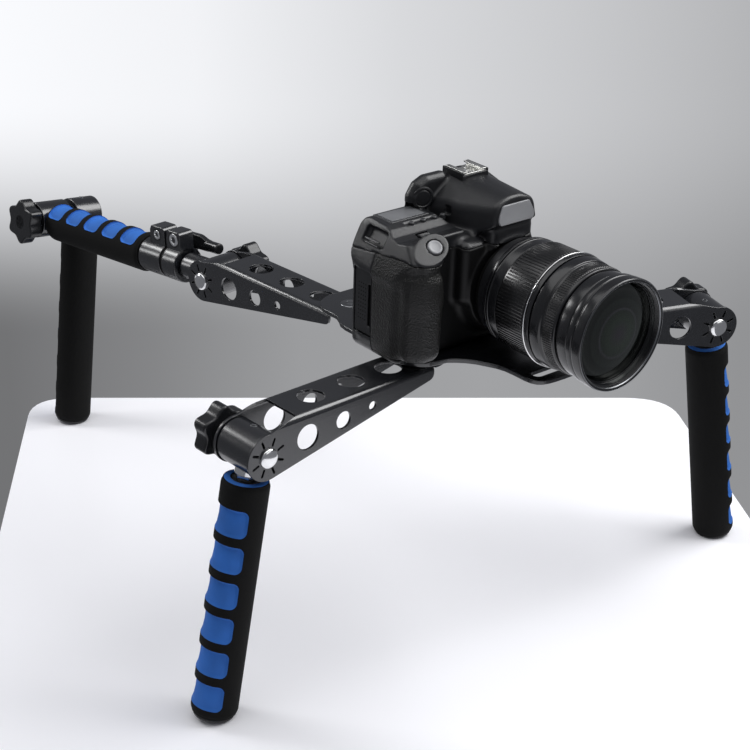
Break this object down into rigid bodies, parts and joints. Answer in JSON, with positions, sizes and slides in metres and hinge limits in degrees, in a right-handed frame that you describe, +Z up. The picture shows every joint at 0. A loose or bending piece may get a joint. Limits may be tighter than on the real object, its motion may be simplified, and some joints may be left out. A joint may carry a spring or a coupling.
{
  "type": "cinema camera rig",
  "caption": "Stills camera with zoom lens on a plate with swinging channel arms, hanging foam handles and a clamped rear tube, standing on its handles.",
  "frame": {"origin": "centre of the footprint on the floor, under the bounding box", "axes": "-Y out of the lens, +Y toward the rear handle, +Z up, +X away from the camera's grip side"},
  "size_m": [0.4824, 0.616, 0.3308],
  "materials": {
    "black_anodised": "satin",
    "bright_steel": "polished",
    "tube_metal": "satin",
    "grip_foam": "matte",
    "camera_shell": "matte",
    "camera_rubber": "matte",
    "lens_shell": "satin",
    "shoe_metal": "brushed",
    "display": "gloss",
    "lens_glass": "coated"
  },
  "bodies": {
    "chassis": {"base_plate": "black_anodised", "front_loop": "black_anodised", "swing_bolts": "bright_steel", "camera_screw": "bright_steel", "camera_front": "camera_shell", "camera_back": "camera_shell", "camera_top": "camera_shell", "hand_grip": "camera_rubber", "hot_shoe": "shoe_metal", "top_lcd": "display", "rear_screen": "display", "eyecup": "camera_rubber", "lens_barrel": "lens_shell"},
    "left_arm": {"arm_a": "black_anodised", "pivot_bolt_a": "bright_steel"},
    "left_knob": {"knob_a": "black_anodised"},
    "left_handle": {"barrel_a": "black_anodised", "handle_screws_a": "bright_steel", "grip_tube_a": "tube_metal", "foam_grip_a": "grip_foam"},
    "right_arm": {"arm_b": "black_anodised", "pivot_bolt_b": "bright_steel"},
    "right_knob": {"knob_b": "black_anodised"},
    "right_handle": {"barrel_b": "black_anodised", "handle_screws_b": "bright_steel", "grip_tube_b": "tube_metal", "foam_grip_b": "grip_foam"},
    "rear_arm": {"arm_c": "black_anodised", "pivot_bolt_c": "bright_steel"},
    "rear_knob": {"knob_c": "black_anodised"},
    "rear_link": {"barrel_c": "black_anodised", "rear_rod": "tube_metal"},
    "clamp": {"clamp_collar": "black_anodised", "clamp_screws": "bright_steel"},
    "lever": {"clamp_lever": "black_anodised"},
    "rear_grip": {"rear_tube": "tube_metal", "tee_boss": "black_anodised", "tee_bolt": "bright_steel", "foam_grip_h": "grip_foam"},
    "tee_knob": {"knob_d": "black_anodised"},
    "rear_handle": {"barrel_d": "black_anodised", "handle_screws_d": "bright_steel", "grip_tube_d": "tube_metal", "foam_grip_d": "grip_foam"},
    "button_1": {"top_button_1": "camera_shell"},
    "button_2": {"top_button_2": "camera_shell"},
    "button_3": {"top_button_3": "camera_shell"},
    "button_4": {"top_button_4": "camera_shell"},
    "shutter": {"shutter_button": "lens_shell"},
    "dial": {"main_dial": "camera_shell"},
    "mode": {"mode_dial": "camera_shell"},
    "wheel": {"rear_wheel": "camera_shell"},
    "door": {"card_door": "camera_shell"},
    "zoom": {"zoom_ring": "camera_rubber"},
    "nose": {"front_barrel": "lens_shell", "filter_ring": "lens_shell", "lens_glass": "lens_glass"},
    "focus": {"focus_ring": "camera_rubber"}
  },
  "joints": [
    {"name": "left_arm_swing", "type": "hinge", "parent": "chassis", "child": "left_arm", "pos_m": [-0.05078, -0.17444, 0.211], "axis": [-0.0043, -0.0504, 0.9987], "range_deg": [-30, 30]},
    {"name": "left_knob_turn", "type": "hinge", "parent": "left_arm", "child": "left_knob", "pos_m": [-0.19708, -0.14982, 0.19158], "axis": [-0.0507, 0.9975, 0.0501], "continuous": true},
    {"name": "left_handle_tilt", "type": "hinge", "parent": "left_arm", "child": "left_handle", "pos_m": [-0.19551, -0.18074, 0.19003], "axis": [-0.0507, 0.9975, 0.0501], "range_deg": [-28, 60]},
    {"name": "right_arm_swing", "type": "hinge", "parent": "chassis", "child": "right_arm", "pos_m": [0.05711, -0.17125, 0.21163], "axis": [-0.0043, -0.0504, 0.9987], "range_deg": [-30, 30]},
    {"name": "right_knob_turn", "type": "hinge", "parent": "right_arm", "child": "right_knob", "pos_m": [0.20476, -0.1848, 0.19156], "axis": [0.3039, 0.9514, 0.0493], "continuous": true},
    {"name": "right_handle_tilt", "type": "hinge", "parent": "right_arm", "child": "right_handle", "pos_m": [0.19534, -0.21429, 0.19003], "axis": [-0.3039, -0.9514, -0.0493], "range_deg": [-28, 60]},
    {"name": "rear_arm_swing", "type": "hinge", "parent": "chassis", "child": "rear_arm", "pos_m": [-0.0397, -0.08535, 0.21554], "axis": [-0.0043, -0.0504, 0.9987], "range_deg": [-30, 30]},
    {"name": "rear_knob_turn", "type": "hinge", "parent": "rear_arm", "child": "rear_knob", "pos_m": [-0.02138, 0.06262, 0.20306], "axis": [0.9962, 0.0869, 0.0087], "continuous": true},
    {"name": "rear_rod_tilt", "type": "hinge", "parent": "rear_arm", "child": "rear_link", "pos_m": [-0.05226, 0.05992, 0.2028], "axis": [-0.9962, -0.0869, -0.0087], "range_deg": [-30, 25]},
    {"name": "rear_tube_slide", "type": "slide", "parent": "rear_link", "child": "clamp", "axis": [-0.0866, 0.9956, -0.0359], "range_m": [0, 0.08]},
    {"name": "clamp_lever_swing", "type": "hinge", "parent": "clamp", "child": "lever", "pos_m": [-0.0404, 0.12244, 0.20875], "axis": [-0.9962, -0.0869, -0.0087], "range_deg": [0, 75]},
    {"name": "rear_tube_roll", "type": "hinge", "parent": "clamp", "child": "rear_grip", "pos_m": [-0.06525, 0.20926, 0.19741], "axis": [-0.0866, 0.9956, -0.0359], "range_deg": [-45, 45]},
    {"name": "tee_knob_turn", "type": "hinge", "parent": "rear_grip", "child": "tee_knob", "pos_m": [-0.09979, 0.28532, 0.19775], "axis": [-0.9902, -0.082, 0.1132], "continuous": true},
    {"name": "rear_handle_tilt", "type": "hinge", "parent": "rear_grip", "child": "rear_handle", "pos_m": [-0.03958, 0.2903, 0.19087], "axis": [-0.9902, -0.082, 0.1132], "range_deg": [-60, 60]},
    {"name": "button_1_press", "type": "slide", "parent": "chassis", "child": "button_1", "axis": [0.0043, 0.0504, -0.9987], "range_m": [0, 0.0008], "stiffness_N_per_m": 400, "springref_m": -0.0002},
    {"name": "button_2_press", "type": "slide", "parent": "chassis", "child": "button_2", "axis": [0.0043, 0.0504, -0.9987], "range_m": [0, 0.0008], "stiffness_N_per_m": 400, "springref_m": -0.0002},
    {"name": "button_3_press", "type": "slide", "parent": "chassis", "child": "button_3", "axis": [0.0043, 0.0504, -0.9987], "range_m": [0, 0.0008], "stiffness_N_per_m": 400, "springref_m": -0.0002},
    {"name": "button_4_press", "type": "slide", "parent": "chassis", "child": "button_4", "axis": [0.0043, 0.0504, -0.9987], "range_m": [0, 0.0008], "stiffness_N_per_m": 400, "springref_m": -0.0002},
    {"name": "shutter_press", "type": "slide", "parent": "chassis", "child": "shutter", "axis": [0.1671, 0.6537, -0.7381], "range_m": [0, 0.0012], "stiffness_N_per_m": 400, "springref_m": -0.0002},
    {"name": "main_dial_turn", "type": "hinge", "parent": "chassis", "child": "dial", "pos_m": [-0.05485, -0.18276, 0.29447], "axis": [1, -0.0001, 0.0043], "continuous": true},
    {"name": "mode_dial_turn", "type": "hinge", "parent": "chassis", "child": "mode", "pos_m": [0.03962, -0.16015, 0.30303], "axis": [-0.0043, -0.0504, 0.9987], "continuous": true},
    {"name": "rear_wheel_turn", "type": "hinge", "parent": "chassis", "child": "wheel", "pos_m": [-0.05516, -0.13964, 0.25359], "axis": [-0.0001, 0.9987, 0.0504], "continuous": true},
    {"name": "card_door_open", "type": "hinge", "parent": "chassis", "child": "door", "pos_m": [-0.08317, -0.16366, 0.25326], "axis": [-0.0043, -0.0504, 0.9987], "range_deg": [0, 85]},
    {"name": "zoom_ring_turn", "type": "hinge", "parent": "chassis", "child": "zoom", "pos_m": [0.00281, -0.23996, 0.25749], "axis": [0.0001, -0.9987, -0.0504], "range_deg": [0, 70]},
    {"name": "front_barrel_slide", "type": "slide", "parent": "chassis", "child": "nose", "axis": [0.0001, -0.9987, -0.0504], "range_m": [0, 0.018]},
    {"name": "focus_ring_turn", "type": "hinge", "parent": "nose", "child": "focus", "pos_m": [0.00281, -0.27192, 0.25587], "axis": [0.0001, -0.9987, -0.0504], "range_deg": [-60, 60]}
  ],
  "couplings": [
    {"joint": "front_barrel_slide", "follows": "zoom_ring_turn", "m_per_rad": 0.014733}
  ]
}
